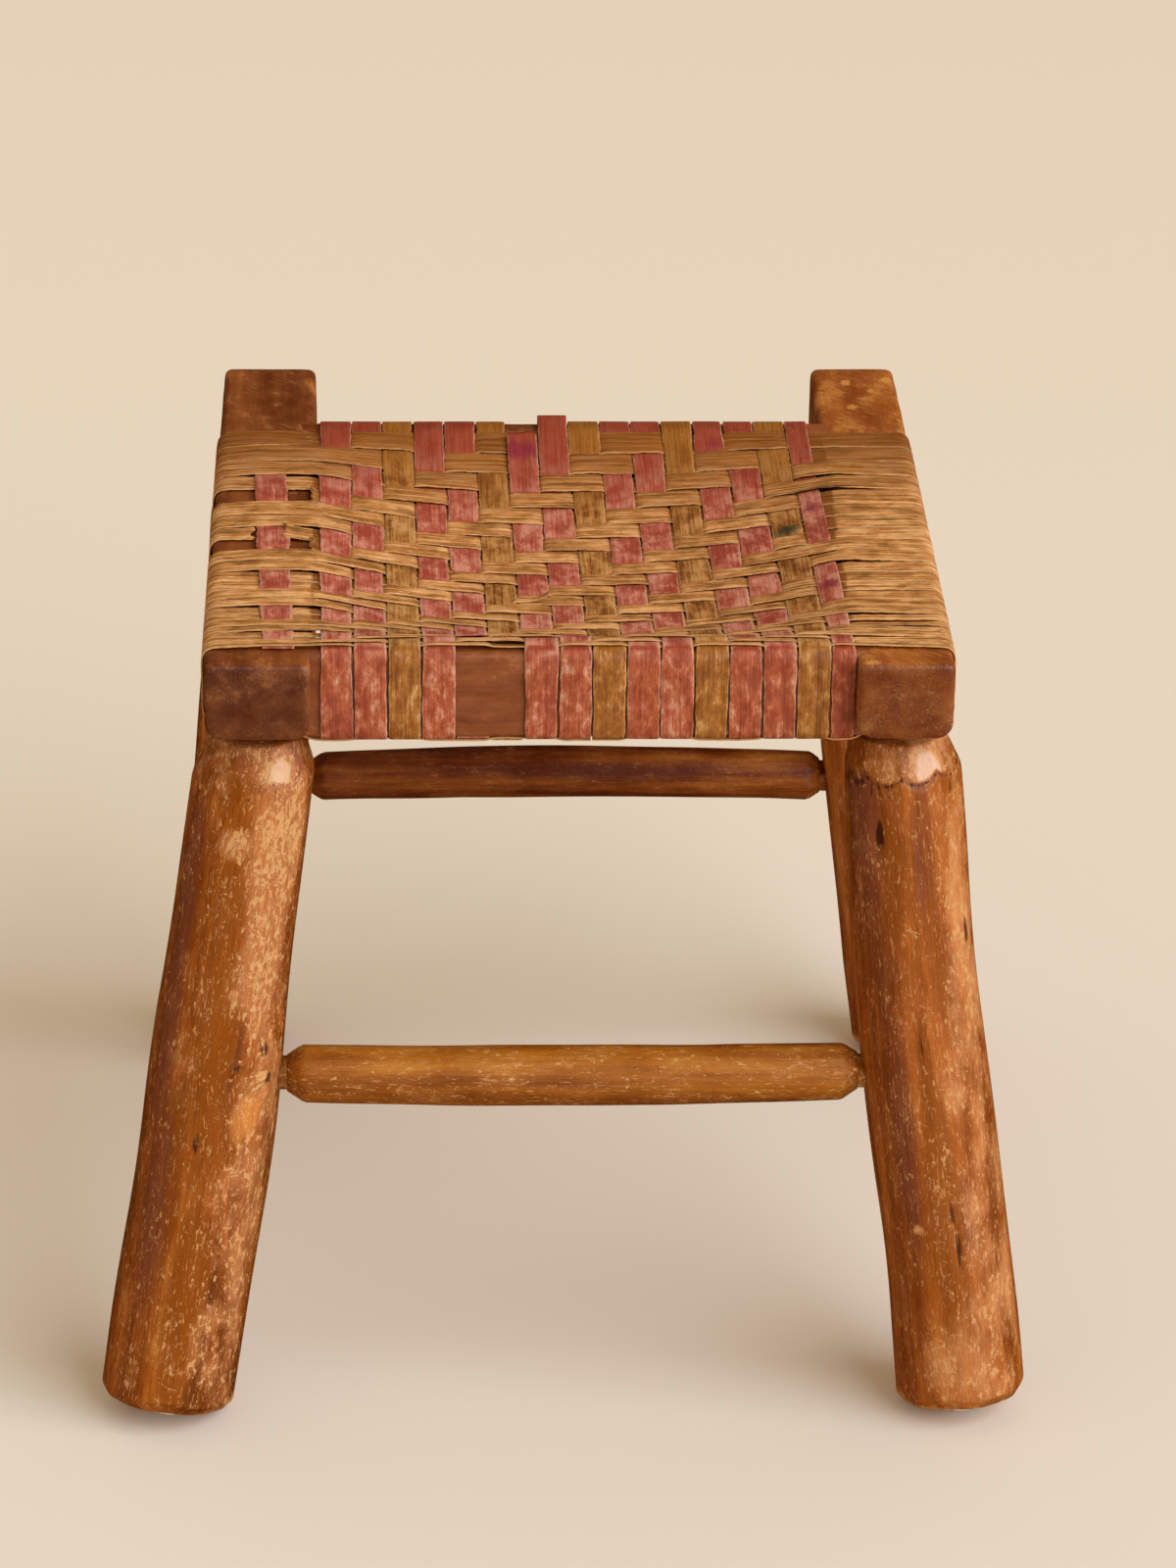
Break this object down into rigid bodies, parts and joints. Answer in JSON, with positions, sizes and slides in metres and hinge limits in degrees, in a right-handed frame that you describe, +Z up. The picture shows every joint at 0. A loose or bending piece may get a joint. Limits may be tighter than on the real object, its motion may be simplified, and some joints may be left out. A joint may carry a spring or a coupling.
{
  "type": "low stool",
  "caption": "Low rustic stool with splayed log legs tenoned into squared side rails, round stretchers and a sagging seat woven from flat wood splints.",
  "frame": {"origin": "middle of the stool's outer box, on the floor", "axes": "+X to the right seen from the front, +Y to the back, +Z up"},
  "size_m": [0.4548, 0.4482, 0.4023],
  "materials": {
    "side_rail_wood": "worn varnish",
    "cross_rail_wood": "worn, matte",
    "leg_wood": "amber varnish",
    "stretcher_wood": "amber varnish",
    "glide_plastic": "scuffed",
    "nail_steel": "dull",
    "red_splint": "dyed splint, worn",
    "tan_splint": "dyed splint, worn",
    "weft_splint": "bare splint, satin"
  },
  "bodies": {
    "root": {"left_side_rail": "side_rail_wood", "right_side_rail": "side_rail_wood", "front_cross_rail": "cross_rail_wood", "back_cross_rail": "cross_rail_wood", "front_left_leg": "leg_wood", "front_right_leg": "leg_wood", "rear_left_leg": "leg_wood", "rear_right_leg": "leg_wood", "front_stretcher": "stretcher_wood", "rear_stretcher": "stretcher_wood", "front_left_glide": "glide_plastic", "front_right_glide": "glide_plastic", "rear_left_glide": "glide_plastic", "rear_right_glide": "glide_plastic", "glide_nails": "nail_steel", "rail_splint": "red_splint", "warp_splint_01": "red_splint", "warp_splint_02": "red_splint", "warp_splint_03": "tan_splint", "warp_splint_04": "red_splint", "warp_splint_05": "red_splint", "warp_splint_06": "tan_splint", "warp_splint_07": "red_splint", "warp_splint_08": "red_splint", "warp_splint_09": "tan_splint", "warp_splint_10": "red_splint", "warp_splint_11": "red_splint", "warp_splint_12": "tan_splint", "warp_splint_13": "red_splint", "warp_splint_14": "red_splint", "warp_splint_15": "tan_splint", "warp_splint_16": "red_splint", "weft_splint_01": "weft_splint", "weft_splint_02": "weft_splint", "weft_splint_03": "weft_splint", "weft_splint_04": "weft_splint", "weft_splint_05": "weft_splint", "weft_splint_06": "weft_splint", "weft_splint_07": "weft_splint", "weft_splint_08": "weft_splint", "weft_splint_09": "weft_splint", "weft_splint_10": "weft_splint", "weft_splint_11": "weft_splint", "weft_splint_12": "weft_splint", "weft_splint_13": "weft_splint", "weft_splint_14": "weft_splint", "weft_splint_15": "weft_splint", "weft_splint_16": "weft_splint", "weft_splint_17": "weft_splint", "weft_splint_18": "weft_splint", "weft_splint_19": "weft_splint", "weft_splint_20": "weft_splint", "weft_splint_21": "weft_splint", "weft_splint_22": "weft_splint", "weft_splint_23": "weft_splint"}
  },
  "joints": []
}
